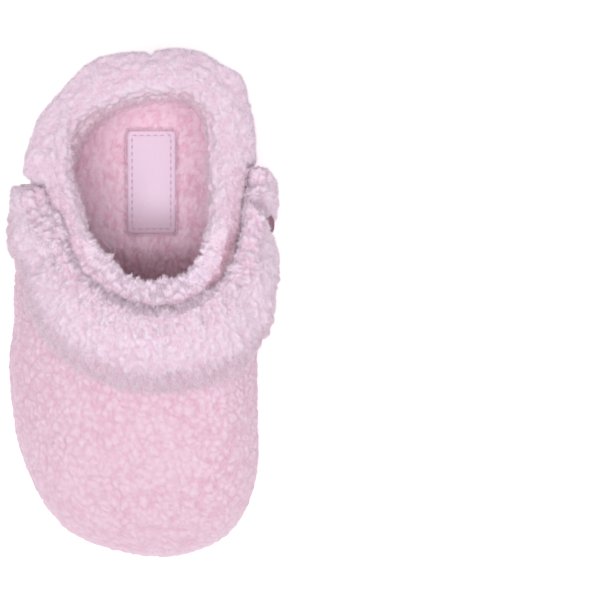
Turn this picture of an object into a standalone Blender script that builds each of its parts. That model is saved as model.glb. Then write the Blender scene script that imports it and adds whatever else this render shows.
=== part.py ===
"""A baby bootie in curly fleece, for the right foot.

It has a soft sole, a toe part with a turned-down cuff, and a heel part whose sides lie under the cuff's two
wings, which peel open on hook and loop.

The toe points along -Y, the heel along +Y, up is +Z and the inner (medial) side of the foot is +X. The origin
is at the middle of the base. Lengths in this script are millimetres, and MM turns them into Blender's metres.

Every piece of the upper is a closed outline swept round one wall surface. A place on that wall is (u, s, n):
u runs once round the bootie from the back of the heel by the outer side to the toe and back by the inner
side, s is the distance down from the topline, and n is the distance out from the face of the outer fleece.
"""

import math

import bmesh
import bpy
import numpy as np

MM = 0.001

# The wall's stations, evenly spaced in u: a place on the widest girth and the place on the topline above.
STATIONS = (
    ((3.0, 57.6), (3.5, 55.6)),
    ((-11.5, 53.6), (-9.0, 52.5)),
    ((-21.6, 43.6), (-18.0, 43.5)),
    ((-27.0, 31.0), (-20.3, 32.0)),
    ((-30.3, 15.0), (-17.0, 20.5)),
    ((-32.4, -3.0), (-14.8, 11.8)),
    ((-32.6, -21.0), (-11.6, 5.4)),
    ((-28.8, -40.0), (-7.2, 0.9)),
    ((-17.5, -56.5), (-1.8, -2.2)),
    ((2.5, -62.4), (4.5, -3.6)),
    ((19.0, -58.0), (10.8, -2.5)),
    ((26.8, -43.5), (16.0, 0.6)),
    ((27.8, -25.0), (19.6, 5.6)),
    ((27.6, -6.0), (21.8, 13.0)),
    ((27.6, 12.0), (22.8, 23.5)),
    ((27.0, 30.0), (24.0, 36.0)),
    ((23.8, 46.0), (21.8, 47.5)),
    ((15.2, 55.2), (14.5, 55.0)),
)
COUNT = len(STATIONS)
CENTRING = (-0.734, 0.912)

SOLE_EDGE_HEIGHT = 3.2
SOLE_EDGE_INSET = 3.4
GIRTH_HEIGHT = 17.4
GIRTH_RISE_TO_HEEL = 0.045
TOPLINE_HEIGHT = 48.0
TOPLINE_SAG = 1.6

# Where the pieces of the upper begin and end, as places round the wall.
SEAM_GAP = 0.0012
LATERAL_SEAM = 4.6 / COUNT
MEDIAL_SEAM = 13.4 / COUNT
LATERAL_HINGE = 5.1 / COUNT
MEDIAL_HINGE = 12.9 / COUNT
LATERAL_WING_END = 3.4 / COUNT
MEDIAL_WING_END = 14.6 / COUNT
CUFF_LOWEST = 9.3 / COUNT

# Layers of the wall, each from its inner face to its outer face.
LINING = (-7.6, -4.55)
HEEL_COUNTER = (-4.2, -3.6)
SEAM_TAPE = (-3.25, -2.85)
SHELL = (-2.5, 0.0)
HOOK_PAD = (0.35, 0.85)
LOOP_PAD = (1.2, 1.7)
FACING = (2.05, 2.55)
CUFF = (2.9, 6.7)
SHELL_CORNER = 0.5

CUFF_ABOVE_TOPLINE = 5.2
CUFF_REACH_FRONT = 20.0
CUFF_REACH_LATERAL = 21.5
CUFF_REACH_MEDIAL = 26.5
WING_TOP_DROP = 3.6
WING_LOW_RISE = 4.5
COLLAR_REACH = 11.0
COLLAR_THICKNESS = 3.6
COLLAR_HEIGHT = 4.2
LIP_THICKNESS = 0.9
LIP_REACH = 3.2
LINING_STOP = 4.0
PAD_EDGES = (5.0, 14.0)
PAD_SHARES = (0.42, 0.88)
FACING_SETBACK = 0.004
HINGE_STAND_OFF = 0.4
HINGE_SPAN = (-4.0, 20.0)
TAB_LENGTH = 1.4
TAB_THICKNESS = 1.3
TAB_PAST_HINGE = 0.06
TAB_HALF_WIDTH = 0.008
TAB_ABOVE_EDGE = 11.5

# The sole, from the floor up.
TREAD_TOP = 1.1
TREAD_SHEET = 0.5
GRIP_EDGE = 0.5
OUTSOLE = (1.45, 2.85)
FOAM = (3.2, 6.75)
FOOTBED = (7.1, 10.4)
LABEL = (10.75, 11.15)
LABEL_CENTRE = (1.65, 29.6)
LABEL_SIZE = (12.0, 25.5)
THREAD_RADIUS = 0.2
SEAM_THREAD_RADIUS = 0.45

# How many lines the wall is divided by, once round it, and the step in u that measures its directions.
GRID = 3 * COUNT
SMALL_STEP = 0.004
UP = np.array([0.0, 0.0, 1.0])


def closed_spline(points, u):
    """The points of the smooth closed curve through these, at places u, where 1 is once round."""
    points = np.asarray(points, float)
    at = (np.asarray(u, float) % 1.0) * len(points)
    index = np.floor(at).astype(int)
    t = (at - index)[..., None]
    a, b, c, d = (points[(index + k) % len(points)] for k in (-1, 0, 1, 2))
    squared = 2 * a - 5 * b + 4 * c - d
    cubed = 3 * (b - c) + d - a
    return 0.5 * (2 * b + (c - a) * t + squared * t**2 + cubed * t**3)


def unit(vectors):
    return vectors / np.linalg.norm(vectors, axis=-1, keepdims=True)


def smooth_step(x):
    x = min(max(x, 0.0), 1.0)
    return x * x * (3 - 2 * x)


def bezier(start, leaving, arriving, end, count):
    t = np.linspace(0, 1, count)[:, None]
    handles = 3 * leaving * t * (1 - t) ** 2 + 3 * arriving * t**2 * (1 - t)
    return start * (1 - t) ** 3 + handles + end * t**3


def girth_at(u):
    return closed_spline([girth for girth, _ in STATIONS], u)


def topline_at(u):
    return closed_spline([top for _, top in STATIONS], u)


def outward_at(u):
    """The level direction out of the bootie, square to its girth."""
    along = girth_at(u + SMALL_STEP) - girth_at(u - SMALL_STEP)
    return unit(np.stack([along[..., 1], -along[..., 0]], axis=-1))


def wall_line(u):
    """Points down the wall at u, from the topline to the sole's edge, and the way it rises at its top."""
    girth, top, outward = girth_at(u), topline_at(u), outward_at(u)
    girth_height = GIRTH_HEIGHT + GIRTH_RISE_TO_HEEL * girth[1]
    top_height = TOPLINE_HEIGHT + TOPLINE_SAG * ((top[1] - 27.0) / 30.0) ** 2
    widest = np.array([*girth, girth_height])
    topmost = np.array([*top, top_height])
    reach = np.linalg.norm(topmost - widest)
    level = np.linalg.norm(top - girth)
    lean = min(math.atan2(top_height - girth_height, level) + math.radians(11), math.radians(88))
    rising = np.array([*((top - girth) / level * math.cos(lean)), math.sin(lean)])
    upper = bezier(topmost, topmost - 0.33 * reach * rising, widest + 0.32 * reach * UP, widest, 40)
    foot = np.array([*(girth - SOLE_EDGE_INSET * outward), SOLE_EDGE_HEIGHT])
    drop = girth_height - SOLE_EDGE_HEIGHT
    flare = np.array([*(0.45 * outward), 0.89])
    lower = bezier(widest, widest - 0.4 * drop * UP, foot + 0.4 * drop * flare, foot, 20)
    return np.concatenate([upper, lower[1:]]), rising


def wall_depth(u):
    """The distance from the topline down the wall to the edge of the sole."""
    line, _ = wall_line(u)
    return float(np.linalg.norm(np.diff(line, axis=0), axis=1).sum())


def wall_points(u, s):
    """Points of the wall at distances s down from the topline. Above it the wall runs straight on."""
    line, rising = wall_line(u)
    along = np.concatenate([[0], np.cumsum(np.linalg.norm(np.diff(line, axis=0), axis=1))])
    points = np.stack([np.interp(s, along, line[:, k]) for k in range(3)], axis=1)
    return points - np.minimum(s, 0)[:, None] * rising


def placed(u, outline):
    """Points in space of an outline of (s, n) pairs at u."""
    s, n = np.asarray(outline, float).T
    round_it = wall_points(u + SMALL_STEP, s) - wall_points(u - SMALL_STEP, s)
    down = wall_points(u, s) - wall_points(u, s - 0.8)
    return wall_points(u, s) + n[:, None] * unit(np.cross(down, round_it))


def fabric(name, colour, roughness=0.9):
    material = bpy.data.materials.new(name)
    material.use_nodes = True
    shader = material.node_tree.nodes["Principled BSDF"]
    shader.inputs["Base Color"].default_value = (*colour, 1.0)
    shader.inputs["Roughness"].default_value = roughness
    shader.inputs["Metallic"].default_value = 0.0
    return material


def add_object(name, work, material, origin=(0.0, 0.0, 0.0)):
    """A named object from a bmesh in millimetres, turned outward, with its origin at this place."""
    bmesh.ops.recalc_face_normals(work, faces=work.faces)
    bmesh.ops.translate(work, verts=work.verts, vec=[-c for c in origin])
    bmesh.ops.scale(work, verts=work.verts, vec=(MM, MM, MM))
    mesh = bpy.data.meshes.new(name)
    work.to_mesh(mesh)
    work.free()
    mesh.materials.append(material)
    mesh.shade_smooth()
    mesh.set_sharp_from_angle(angle=math.radians(50))
    made = bpy.data.objects.new(name, mesh)
    made.location = [(c + shift) * MM for c, shift in zip(origin, (*CENTRING, 0.0))]
    bpy.context.scene.collection.objects.link(made)
    return made


def loft(name, rings, material, ends="flat", origin=(0.0, 0.0, 0.0)):
    """A closed solid through rings of points. Its ends are flat, strips across the ring, or joined."""
    work = bmesh.new()
    made = [[work.verts.new(p) for p in ring] for ring in rings]
    followers = made[1:] + made[:1] if ends == "joined" else made[1:]
    for first, second in zip(made, followers):
        for k in range(len(first)):
            j = (k + 1) % len(first)
            work.faces.new((first[k], first[j], second[j], second[k]))
    for ring in (made[0], made[-1]):
        if ends == "flat":
            work.faces.new(ring)
        if ends == "strips":
            for k in range(len(ring) // 2 - 1):
                work.faces.new((ring[k], ring[k + 1], ring[-2 - k], ring[-1 - k]))
    return add_object(name, work, material, origin)


def sweep(name, first, last, section, material, origin=(0.0, 0.0, 0.0)):
    """A piece of the upper: section(u) gives its outline, swept from u = first to u = last.

    An outline lists one face of the piece and then, backwards, as many points of the other.
    """
    first, last = min(first, last), max(first, last)
    lines = np.arange(math.ceil(first * GRID + 0.2), math.floor(last * GRID - 0.2) + 1) / GRID
    rings = [placed(u, section(u)) for u in [first, *lines, last]]
    return loft(name, rings, material, "strips", origin)


def full_layer(faces, top, stop, rows, corner=0.0):
    """A section for sweep: a layer from top down to stop above the sole's edge, in this many rows."""
    inner, outer = faces

    def section(u):
        down = np.linspace(top, wall_depth(u) - stop, rows)
        if corner:
            down = np.insert(down, 1, top + corner)
        outside = [(s, outer) for s in down]
        outside[0] = (top, outer - corner)
        return outside + [(s, inner) for s in down[::-1]]

    return section


def band_layer(faces, top, low, rows=6):
    """An outline: a layer between these distances down the wall."""
    down = np.linspace(top, low, rows)
    return [(s, faces[1]) for s in down] + [(s, faces[0]) for s in down[::-1]]


def cuff_outline(top, low, thickness):
    """A plump band outside the wall, rounded at its top fold and at its lower edge."""
    inner, outer = CUFF[0], CUFF[0] + thickness
    down = [top, top + 0.7, *np.linspace(top + 2.2, low - 2.4, 4), low - 0.6, low]
    outside = [inner + 0.65 * thickness, outer - 0.6, outer, outer, outer, outer - 0.2, outer - 1.2]
    outside += [inner + 0.5 * thickness]
    inside = [inner + 0.35 * thickness, inner + 0.5, inner, inner, inner, inner, inner + 0.2]
    inside += [inner + 0.2 * thickness]
    return [*zip(down, outside), *zip(down[::-1], inside[::-1])]


def cuff_reach(u):
    """How far down the wall the cuff comes: least at the front, most at the inner side."""
    side = CUFF_REACH_LATERAL if u < CUFF_LOWEST else CUFF_REACH_MEDIAL
    aside = abs(u - CUFF_LOWEST) * COUNT
    return CUFF_REACH_FRONT + (side - CUFF_REACH_FRONT) * smooth_step(aside / 4.0)


def front_cuff_section(u):
    return cuff_outline(-CUFF_ABOVE_TOPLINE, cuff_reach(u), CUFF[1] - CUFF[0])


def front_facing_section(u):
    return band_layer(FACING, 3.0 - CUFF_ABOVE_TOPLINE, cuff_reach(u) - 1.5)


def wing_edges(u, hinge, end):
    """The wing's top and lower edges at u, and how far it has narrowed there towards its rounded end."""
    narrowing = smooth_step(2 * (u - hinge) / (end - hinge) - 1)
    top = -CUFF_ABOVE_TOPLINE + WING_TOP_DROP * narrowing
    return top, cuff_reach(u) - WING_LOW_RISE * narrowing, narrowing


def inner_collar_section(_):
    """The fleece roll round the front of the opening, above the edges of the toe part and its lining."""
    inner, outer = LINING[0], SHELL[0] - 0.1
    return [
        (-0.4, outer), (-2.6, outer), (-3.9, outer - 1.0), (-4.4, outer - 2.0),
        (-4.4, inner + 2.0), (-3.9, inner + 1.0), (-2.6, inner), (-0.4, inner),
    ]


def heel_collar_section(u):
    """The fleece roll over the heel part's top edge. Under the wings it keeps only a short lip outside."""
    place = (u % 1.0) * COUNT
    from_wing = place - LATERAL_WING_END * COUNT if u % 1.0 < 0.5 else MEDIAL_WING_END * COUNT - place
    covered = smooth_step((from_wing + 0.45) / 0.35)
    inner, outer = LINING[0], SHELL[1] + 0.35
    leg = outer + COLLAR_THICKNESS - (COLLAR_THICKNESS - LIP_THICKNESS) * covered
    low = COLLAR_REACH - (COLLAR_REACH - LIP_REACH) * covered
    over = [
        (-1.6, inner), (-2.9, inner + 0.3), (0.5 - COLLAR_HEIGHT, inner + 1.7), (-COLLAR_HEIGHT, inner + 4.0),
        (0.6 - COLLAR_HEIGHT, outer - 0.6), (-1.8, leg - 0.4), (0.5, leg), (low - 1.6, leg),
        (low - 0.3, leg - 0.5),
    ]
    under = [
        (-0.4, inner), (-0.4, inner + 1.0), (-0.4, inner + 2.5), (-0.4, inner + 4.2),
        (-0.4, outer - 1.5), (-0.4, outer), (0.5, outer), (low - 1.6, outer), (low - 0.3, outer),
    ]
    return over + under[::-1]


def sole_outline(inset, count=GRID):
    """Points of the sole's edge, drawn in by inset."""
    u = np.arange(count) / count
    return girth_at(u) - (SOLE_EDGE_INSET + inset) * outward_at(u)


def plate(name, inset, heights, material, rounding=0.5, crown=0.0):
    """A flat layer of the sole with rounded edges, and a top that may rise to a crown in the middle."""
    low, high = heights
    steps = [(inset + rounding, low), (inset, low + rounding)]
    steps += [(inset, high - rounding - crown), (inset + rounding, high - crown)]
    if crown:
        steps += [(inset + 5.0, high)]
    return loft(name, [[(*p, z) for p in sole_outline(at)] for at, z in steps], material)


def rounded_rectangle(centre, size, radius, corner_steps=3):
    points = []
    for quarter, (side, end) in enumerate(((1, 1), (-1, 1), (-1, -1), (1, -1))):
        for k in range(corner_steps + 1):
            angle = math.radians(90 * (quarter + k / corner_steps))
            x = centre[0] + side * (size[0] / 2 - radius) + radius * math.cos(angle)
            y = centre[1] + end * (size[1] / 2 - radius) + radius * math.sin(angle)
            points.append((x, y))
    return points


def closed_thread(name, path, height, radius, material, sides=4):
    """A thread that runs round a closed, level path."""
    path = np.array([(*p, height) for p in path])
    across = unit(np.cross(np.roll(path, -1, axis=0) - np.roll(path, 1, axis=0), UP))
    turns = [2 * math.pi * k / sides for k in range(sides)]
    rings = []
    for centre, out in zip(path, across):
        rings.append([centre + radius * (math.cos(a) * out + math.sin(a) * UP) for a in turns])
    return loft(name, rings, material, "joined")


def grip_pad(name, centre, size, material, pitch=7.2, dot_radius=2.1, taper=0.3, sunk=0.2, sides=24):
    """A thin silicone sheet under the sole with round dots on it, in staggered rows."""
    half_x, half_y = size[0] / 2, size[1] / 2
    sheet_low = TREAD_TOP - TREAD_SHEET
    turns = [2 * math.pi * k / sides for k in range(sides)]
    oval = [(centre[0] + half_x * math.cos(a), centre[1] + half_y * math.sin(a)) for a in turns]
    pad = loft(name, [[(*p, sheet_low) for p in oval], [(*p, TREAD_TOP) for p in oval]], material)
    dots = bmesh.new()
    row_pitch = pitch * math.sqrt(3) / 2
    dot_height = sheet_low + sunk
    rows, columns = int(half_y // row_pitch), math.ceil(half_x / pitch)
    reach_x, reach_y = half_x - dot_radius - GRIP_EDGE, half_y - dot_radius - GRIP_EDGE
    for row in range(-rows, rows + 1):
        for column in range(-columns, columns + 1):
            x, y = column * pitch + (pitch / 2 if row % 2 else 0.0), row * row_pitch
            if math.hypot(x / reach_x, y / reach_y) > 1:
                continue
            made = bmesh.ops.create_cone(
                dots,
                cap_ends=True,
                segments=8,
                radius1=dot_radius - taper,
                radius2=dot_radius,
                depth=dot_height,
            )
            middle = (centre[0] + x, centre[1] + y, dot_height / 2)
            bmesh.ops.translate(dots, verts=made["verts"], vec=middle)
    cutter = add_object(name + "_dots", dots, material)
    cutter.hide_render = True
    cutter.display_type = "WIRE"
    union = pad.modifiers.new("dots", "BOOLEAN")
    union.operation = "UNION"
    union.solver = "EXACT"
    union.object = cutter
    return pad


def add_sole(rubber, suede, foam, fleece, satin, thread):
    grip_pad("grip_pad_forefoot", (-1.5, -33.0), (42.0, 38.0), rubber)
    grip_pad("grip_pad_heel", (0.5, 33.0), (32.0, 28.0), rubber)
    plate("outsole", 0.0, OUTSOLE, suede, rounding=0.4)
    plate("midsole_foam", 3.2, FOAM, foam)
    plate("footbed", 5.6, FOOTBED, fleece, rounding=0.6, crown=0.5)
    shape = rounded_rectangle(LABEL_CENTRE, LABEL_SIZE, 1.6)
    loft("footbed_label", [[(*p, z) for p in shape] for z in LABEL], satin)
    stitching = rounded_rectangle(LABEL_CENTRE, [side - 2.4 for side in LABEL_SIZE], 0.8)
    closed_thread("label_thread", stitching, LABEL[1] + 0.35 + THREAD_RADIUS, THREAD_RADIUS, thread)
    closed_thread("sole_seam_thread", sole_outline(-0.9), OUTSOLE[1] + 0.1, SEAM_THREAD_RADIUS, thread)


def add_toe_part(fleece, inner_fleece, cuff_fleece, knit):
    first, last = LATERAL_SEAM + SEAM_GAP, MEDIAL_SEAM - SEAM_GAP
    sweep("vamp_shell", first, last, full_layer(SHELL, 0.0, 0.0, 10, corner=SHELL_CORNER), fleece)
    sweep("vamp_lining", first, last, full_layer(LINING, 0.0, LINING_STOP, 9), inner_fleece)
    sweep("inner_collar", first, last, inner_collar_section, inner_fleece)
    first, last = LATERAL_HINGE + SEAM_GAP, MEDIAL_HINGE - SEAM_GAP
    sweep("front_cuff_facing", first, last, front_facing_section, knit)
    sweep("front_cuff", first, last, front_cuff_section, cuff_fleece)


def add_heel_part(fleece, inner_fleece, cuff_fleece, felt, twill):
    quarter = full_layer(SHELL, 0.0, 0.0, 8, corner=SHELL_CORNER)
    sweep("quarter_lateral", SEAM_GAP, LATERAL_SEAM - SEAM_GAP, quarter, fleece)
    sweep("quarter_medial", MEDIAL_SEAM + SEAM_GAP, 1.0 - SEAM_GAP, quarter, fleece)
    sweep("back_seam_tape", -0.012, 0.012, full_layer(SEAM_TAPE, 2.0, LINING_STOP, 8), twill)
    sweep("heel_counter", -0.15, 0.15, full_layer(HEEL_COUNTER, 4.0, LINING_STOP, 8), felt)
    first, last = MEDIAL_SEAM - 1.0 + SEAM_GAP, LATERAL_SEAM - SEAM_GAP
    sweep("heel_lining", first, last, full_layer(LINING, 0.0, LINING_STOP, 8), inner_fleece)
    sweep("heel_collar", first, last, heel_collar_section, cuff_fleece)


def hinge_middle(hinge):
    """The middle of the line a wing turns about, which lies just outside the cuff where the two meet."""
    line = [(s, CUFF[1] + HINGE_STAND_OFF) for s in np.linspace(*HINGE_SPAN, 9)]
    return placed(hinge, line).mean(axis=0)


def add_wing(side, hinge, end, fleece, knit, hook, loop):
    """One wing of the cuff, with its facing and the loop pad. Its hook pad is on the heel part."""
    origin = hinge_middle(hinge)
    first = hinge + math.copysign(SEAM_GAP, end - hinge)

    def wing_section(u):
        top, low, narrowing = wing_edges(u, hinge, end)
        return cuff_outline(top, low, (CUFF[1] - CUFF[0]) * (1 - 0.2 * narrowing))

    def facing_section(u):
        top, low, _ = wing_edges(u, hinge, end)
        return band_layer(FACING, top + 3.0, low - 1.5)

    def loop_section(_):
        return band_layer(LOOP_PAD, *PAD_EDGES, 4)

    def hook_section(_):
        return band_layer(HOOK_PAD, *PAD_EDGES, 4)

    sweep(f"wing_{side}", first, end, wing_section, fleece, origin)
    facing_end = end - math.copysign(FACING_SETBACK, end - hinge)
    sweep(f"wing_facing_{side}", first, facing_end, facing_section, knit, origin)
    pad_first, pad_last = (hinge + share * (end - hinge) for share in PAD_SHARES)
    sweep(f"loop_pad_{side}", pad_first, pad_last, loop_section, loop, origin)
    sweep(f"hook_pad_{side}", pad_first, pad_last, hook_section, hook)


def add_side_tab(twill):
    """A small tab sewn to the inner side of the cuff near its lower edge, standing out sideways."""
    middle = MEDIAL_HINGE + TAB_PAST_HINGE
    top, sewn_edge = cuff_reach(middle) - TAB_ABOVE_EDGE, CUFF[1] + 0.35

    def section(_):
        return band_layer((sewn_edge, sewn_edge + TAB_LENGTH), top, top + TAB_THICKNESS, 2)

    origin = placed(middle, [(top, sewn_edge)])[0]
    sweep("side_tab", middle - TAB_HALF_WIDTH, middle + TAB_HALF_WIDTH, section, twill, origin)


def main():
    for old in list(bpy.data.objects):
        bpy.data.objects.remove(old)
    fleece = fabric("curly_fleece", (0.80, 0.56, 0.67))
    inner_fleece = fabric("lining_fleece", (0.74, 0.48, 0.60))
    cuff_fleece = fabric("cuff_fleece", (0.84, 0.66, 0.75))
    knit = fabric("backing_knit", (0.48, 0.25, 0.31))
    felt = fabric("stiffening_felt", (0.85, 0.83, 0.80))
    foam = fabric("cushion_foam", (0.90, 0.88, 0.82))
    suede = fabric("sole_suede", (0.62, 0.38, 0.45))
    rubber = fabric("grip_silicone", (0.86, 0.72, 0.77), 0.55)
    satin = fabric("label_satin", (0.86, 0.66, 0.80), 0.45)
    twill = fabric("tape_twill", (0.48, 0.25, 0.31), 0.8)
    thread = fabric("sewing_thread", (0.80, 0.60, 0.70), 0.6)
    hook = fabric("hook_tape", (0.82, 0.62, 0.70), 0.7)
    loop = fabric("loop_tape", (0.84, 0.66, 0.73), 0.95)
    add_sole(rubber, suede, foam, inner_fleece, satin, thread)
    add_toe_part(fleece, inner_fleece, cuff_fleece, knit)
    add_heel_part(fleece, inner_fleece, cuff_fleece, felt, twill)
    add_wing("lateral", LATERAL_HINGE, LATERAL_WING_END, cuff_fleece, knit, hook, loop)
    add_wing("medial", MEDIAL_HINGE, MEDIAL_WING_END, cuff_fleece, knit, hook, loop)
    add_side_tab(twill)


main()
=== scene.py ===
"""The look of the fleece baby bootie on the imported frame.

Lengths inside the helpers are millimetres in the row frame. A place on the upper is (u, s, n): u runs once
round from the back of the heel by the outer side to the toe and back by the inner side, s is the distance
down from the topline, and n is the distance out from the outer fleece.
"""

import itertools
import math

import bpy
import numpy as np
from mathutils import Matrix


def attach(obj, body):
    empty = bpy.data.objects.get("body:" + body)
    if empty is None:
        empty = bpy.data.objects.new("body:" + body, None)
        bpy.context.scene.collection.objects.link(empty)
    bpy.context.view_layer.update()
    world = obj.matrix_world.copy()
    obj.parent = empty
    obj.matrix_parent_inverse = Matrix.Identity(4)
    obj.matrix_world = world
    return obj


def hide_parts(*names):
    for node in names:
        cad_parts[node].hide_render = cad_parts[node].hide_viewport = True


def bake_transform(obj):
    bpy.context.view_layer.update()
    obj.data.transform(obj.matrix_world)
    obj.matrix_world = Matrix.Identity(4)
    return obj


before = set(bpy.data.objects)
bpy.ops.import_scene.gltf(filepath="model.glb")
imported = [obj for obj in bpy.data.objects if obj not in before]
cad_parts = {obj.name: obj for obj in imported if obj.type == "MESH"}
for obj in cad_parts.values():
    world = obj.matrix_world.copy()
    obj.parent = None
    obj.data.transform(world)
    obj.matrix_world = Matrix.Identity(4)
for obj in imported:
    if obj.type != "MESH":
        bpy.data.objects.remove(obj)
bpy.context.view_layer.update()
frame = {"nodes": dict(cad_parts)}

MM = 0.001

# The wall's stations, evenly spaced in u: a place on the widest girth and the place on the topline above it.
STATIONS = (
    ((3.0, 57.6), (3.5, 55.6)),
    ((-11.5, 53.6), (-9.0, 52.5)),
    ((-21.6, 43.6), (-18.0, 43.5)),
    ((-27.0, 31.0), (-20.3, 32.0)),
    ((-30.3, 15.0), (-17.0, 20.5)),
    ((-32.4, -3.0), (-14.8, 11.8)),
    ((-32.6, -21.0), (-11.6, 5.4)),
    ((-28.8, -40.0), (-7.2, 0.9)),
    ((-17.5, -56.5), (-1.8, -2.2)),
    ((2.5, -62.4), (4.5, -3.6)),
    ((19.0, -58.0), (10.8, -2.5)),
    ((26.8, -43.5), (16.0, 0.6)),
    ((27.8, -25.0), (19.6, 5.6)),
    ((27.6, -6.0), (21.8, 13.0)),
    ((27.6, 12.0), (22.8, 23.5)),
    ((27.0, 30.0), (24.0, 36.0)),
    ((23.8, 46.0), (21.8, 47.5)),
    ((15.2, 55.2), (14.5, 55.0)),
)
COUNT = len(STATIONS)
CENTRING = np.array([-0.734, 0.912, 0.0])

SOLE_EDGE_HEIGHT = 3.2
SOLE_EDGE_INSET = 3.4
GIRTH_HEIGHT = 17.4
GIRTH_RISE_TO_HEEL = 0.045
TOPLINE_HEIGHT = 48.0
TOPLINE_SAG = 1.6

LATERAL_SEAM = 4.6 / COUNT
MEDIAL_SEAM = 13.4 / COUNT
LATERAL_HINGE = 5.1 / COUNT
MEDIAL_HINGE = 12.9 / COUNT
LATERAL_WING_END = 3.4 / COUNT
MEDIAL_WING_END = 14.6 / COUNT
CUFF_ENDS = LATERAL_WING_END - 0.007, MEDIAL_WING_END + 0.009
CUFF_LOWEST = 9.3 / COUNT
TAB_MIDDLE = MEDIAL_HINGE + 0.063

# Each layer of the wall as its inner and outer n.
LINING = (-7.6, -4.55)
SHELL = (-2.5, 0.0)
FACING = (2.05, 2.55)
CUFF = (2.9, 6.7)
CUFF_ABOVE_TOPLINE = 5.2
CUFF_REACH_FRONT = 20.0
CUFF_REACH_LATERAL = 21.5
CUFF_REACH_MEDIAL = 26.5
WING_TOP_DROP = 3.6
WING_LOW_RISE = 4.5
COLLAR_REACH = 11.0
COLLAR_THICKNESS = 3.6
COLLAR_HEIGHT = 4.2
LINING_STOP = 4.0
LABEL_CENTRE = (1.65, 29.6)
LABEL_SIZE = (12.0, 25.5)

# How many millimetres once round counts as, which sets how fine each skin is: in general, and by piece.
U_TO_MM = 300.0
CUFF_U_TO_MM = 235.0
LINING_U_TO_MM = 230.0
TAB_U_TO_MM = 270.0

# A range of u that holds every place.
ALL_ROUND = (-2.0, 2.0)

rng = np.random.default_rng(7)


# ---- the wall


def closed_spline(points, u):
    points = np.asarray(points, float)
    at = (np.asarray(u, float) % 1.0) * len(points)
    index = np.floor(at).astype(int)
    t = (at - index)[..., None]
    a, b, c, d = (points[(index + k) % len(points)] for k in (-1, 0, 1, 2))
    return 0.5 * (2 * b + (c - a) * t + (2 * a - 5 * b + 4 * c - d) * t**2 + (3 * (b - c) + d - a) * t**3)


def unit(vectors):
    return vectors / np.maximum(np.linalg.norm(vectors, axis=-1, keepdims=True), 1e-9)


def smooth_step(x):
    x = np.clip(x, 0.0, 1.0)
    return x * x * (3 - 2 * x)


def rise(x, start, over):
    """0 up to start, then rising smoothly to 1."""
    return smooth_step((x - start) / over)


def bell(x, middle, width):
    """1 at the middle, falling off smoothly over about this width on either side."""
    return np.exp(-(((x - middle) / width) ** 2))


def bezier(start, leaving, arriving, end, count):
    t = np.linspace(0, 1, count)[:, None]
    return start * (1 - t) ** 3 + 3 * leaving * t * (1 - t) ** 2 + 3 * arriving * t**2 * (1 - t) + end * t**3


def distances(line):
    """How far along a line each of its points lies."""
    return np.concatenate([[0], np.cumsum(np.linalg.norm(np.diff(line, axis=0), axis=1))])


def points_along(line, wanted):
    """The places at these distances along a line."""
    along = distances(line)
    return np.stack([np.interp(wanted, along, line[:, k]) for k in range(line.shape[1])], axis=1)


def girth_at(u):
    return closed_spline([girth for girth, _ in STATIONS], u)


def topline_at(u):
    return closed_spline([top for _, top in STATIONS], u)


def outward_at(u):
    along = girth_at(u + 0.004) - girth_at(u - 0.004)
    return unit(np.stack([along[..., 1], -along[..., 0]], axis=-1))


def wall_line(u):
    """The wall's line at u, from the topline to the sole's edge, and the way up from the topline."""
    girth, top, outward = girth_at(u), topline_at(u), outward_at(u)
    girth_height = GIRTH_HEIGHT + GIRTH_RISE_TO_HEEL * girth[1]
    top_height = TOPLINE_HEIGHT + TOPLINE_SAG * ((top[1] - 27.0) / 30.0) ** 2
    widest = np.array([*girth, girth_height])
    topmost = np.array([*top, top_height])
    reach = np.linalg.norm(topmost - widest)
    level = np.linalg.norm(top - girth)
    lean = min(math.atan2(top_height - girth_height, level) + math.radians(11), math.radians(88))
    rising = np.array([*((top - girth) / level * math.cos(lean)), math.sin(lean)])
    up = np.array([0.0, 0.0, 1.0])
    upper = bezier(topmost, topmost - 0.33 * reach * rising, widest + 0.32 * reach * up, widest, 120)
    foot = np.array([*(girth - SOLE_EDGE_INSET * outward), SOLE_EDGE_HEIGHT])
    drop = girth_height - SOLE_EDGE_HEIGHT
    flare = np.array([*(0.45 * outward), 0.89])
    lower = bezier(widest, widest - 0.4 * drop * up, foot + 0.4 * drop * flare, foot, 60)
    return np.concatenate([upper, lower[1:]]), rising


# The wall is tabulated once, then read between the table's lines.
TABLE_U = 720
TABLE_STEP = 0.4
TABLE_TOP = -9.0
TABLE_ROWS = 260


def tabulate_wall():
    rows = TABLE_TOP + TABLE_STEP * np.arange(TABLE_ROWS)
    points, depths = [], []
    for u in np.arange(TABLE_U) / TABLE_U:
        line, rising = wall_line(u)
        depths.append(distances(line)[-1])
        column = points_along(line, rows) - np.minimum(rows, 0)[:, None] * rising
        points.append(column + np.maximum(rows - depths[-1], 0)[:, None] * unit(line[-1] - line[-4]))
    points = np.array(points)
    round_it = np.roll(points, -2, axis=0) - np.roll(points, 2, axis=0)
    return points + CENTRING, unit(np.cross(np.gradient(points, axis=1), round_it)), np.array(depths)


WALL, WALL_NORMALS, WALL_DEPTHS = tabulate_wall()


def look_up(table, u, s):
    """Values of a wall table between its lines, at arrays u and s."""
    a = (u % 1.0) * TABLE_U
    b = np.clip((s - TABLE_TOP) / TABLE_STEP, 0, TABLE_ROWS - 1.001)
    i, j = np.floor(a).astype(int) % TABLE_U, np.floor(b).astype(int)
    fa, fb = (a - np.floor(a))[..., None], (b - j)[..., None]
    i2 = (i + 1) % TABLE_U
    low = table[i, j] * (1 - fa) + table[i2, j] * fa
    high = table[i, j + 1] * (1 - fa) + table[i2, j + 1] * fa
    return low * (1 - fb) + high * fb


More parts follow.
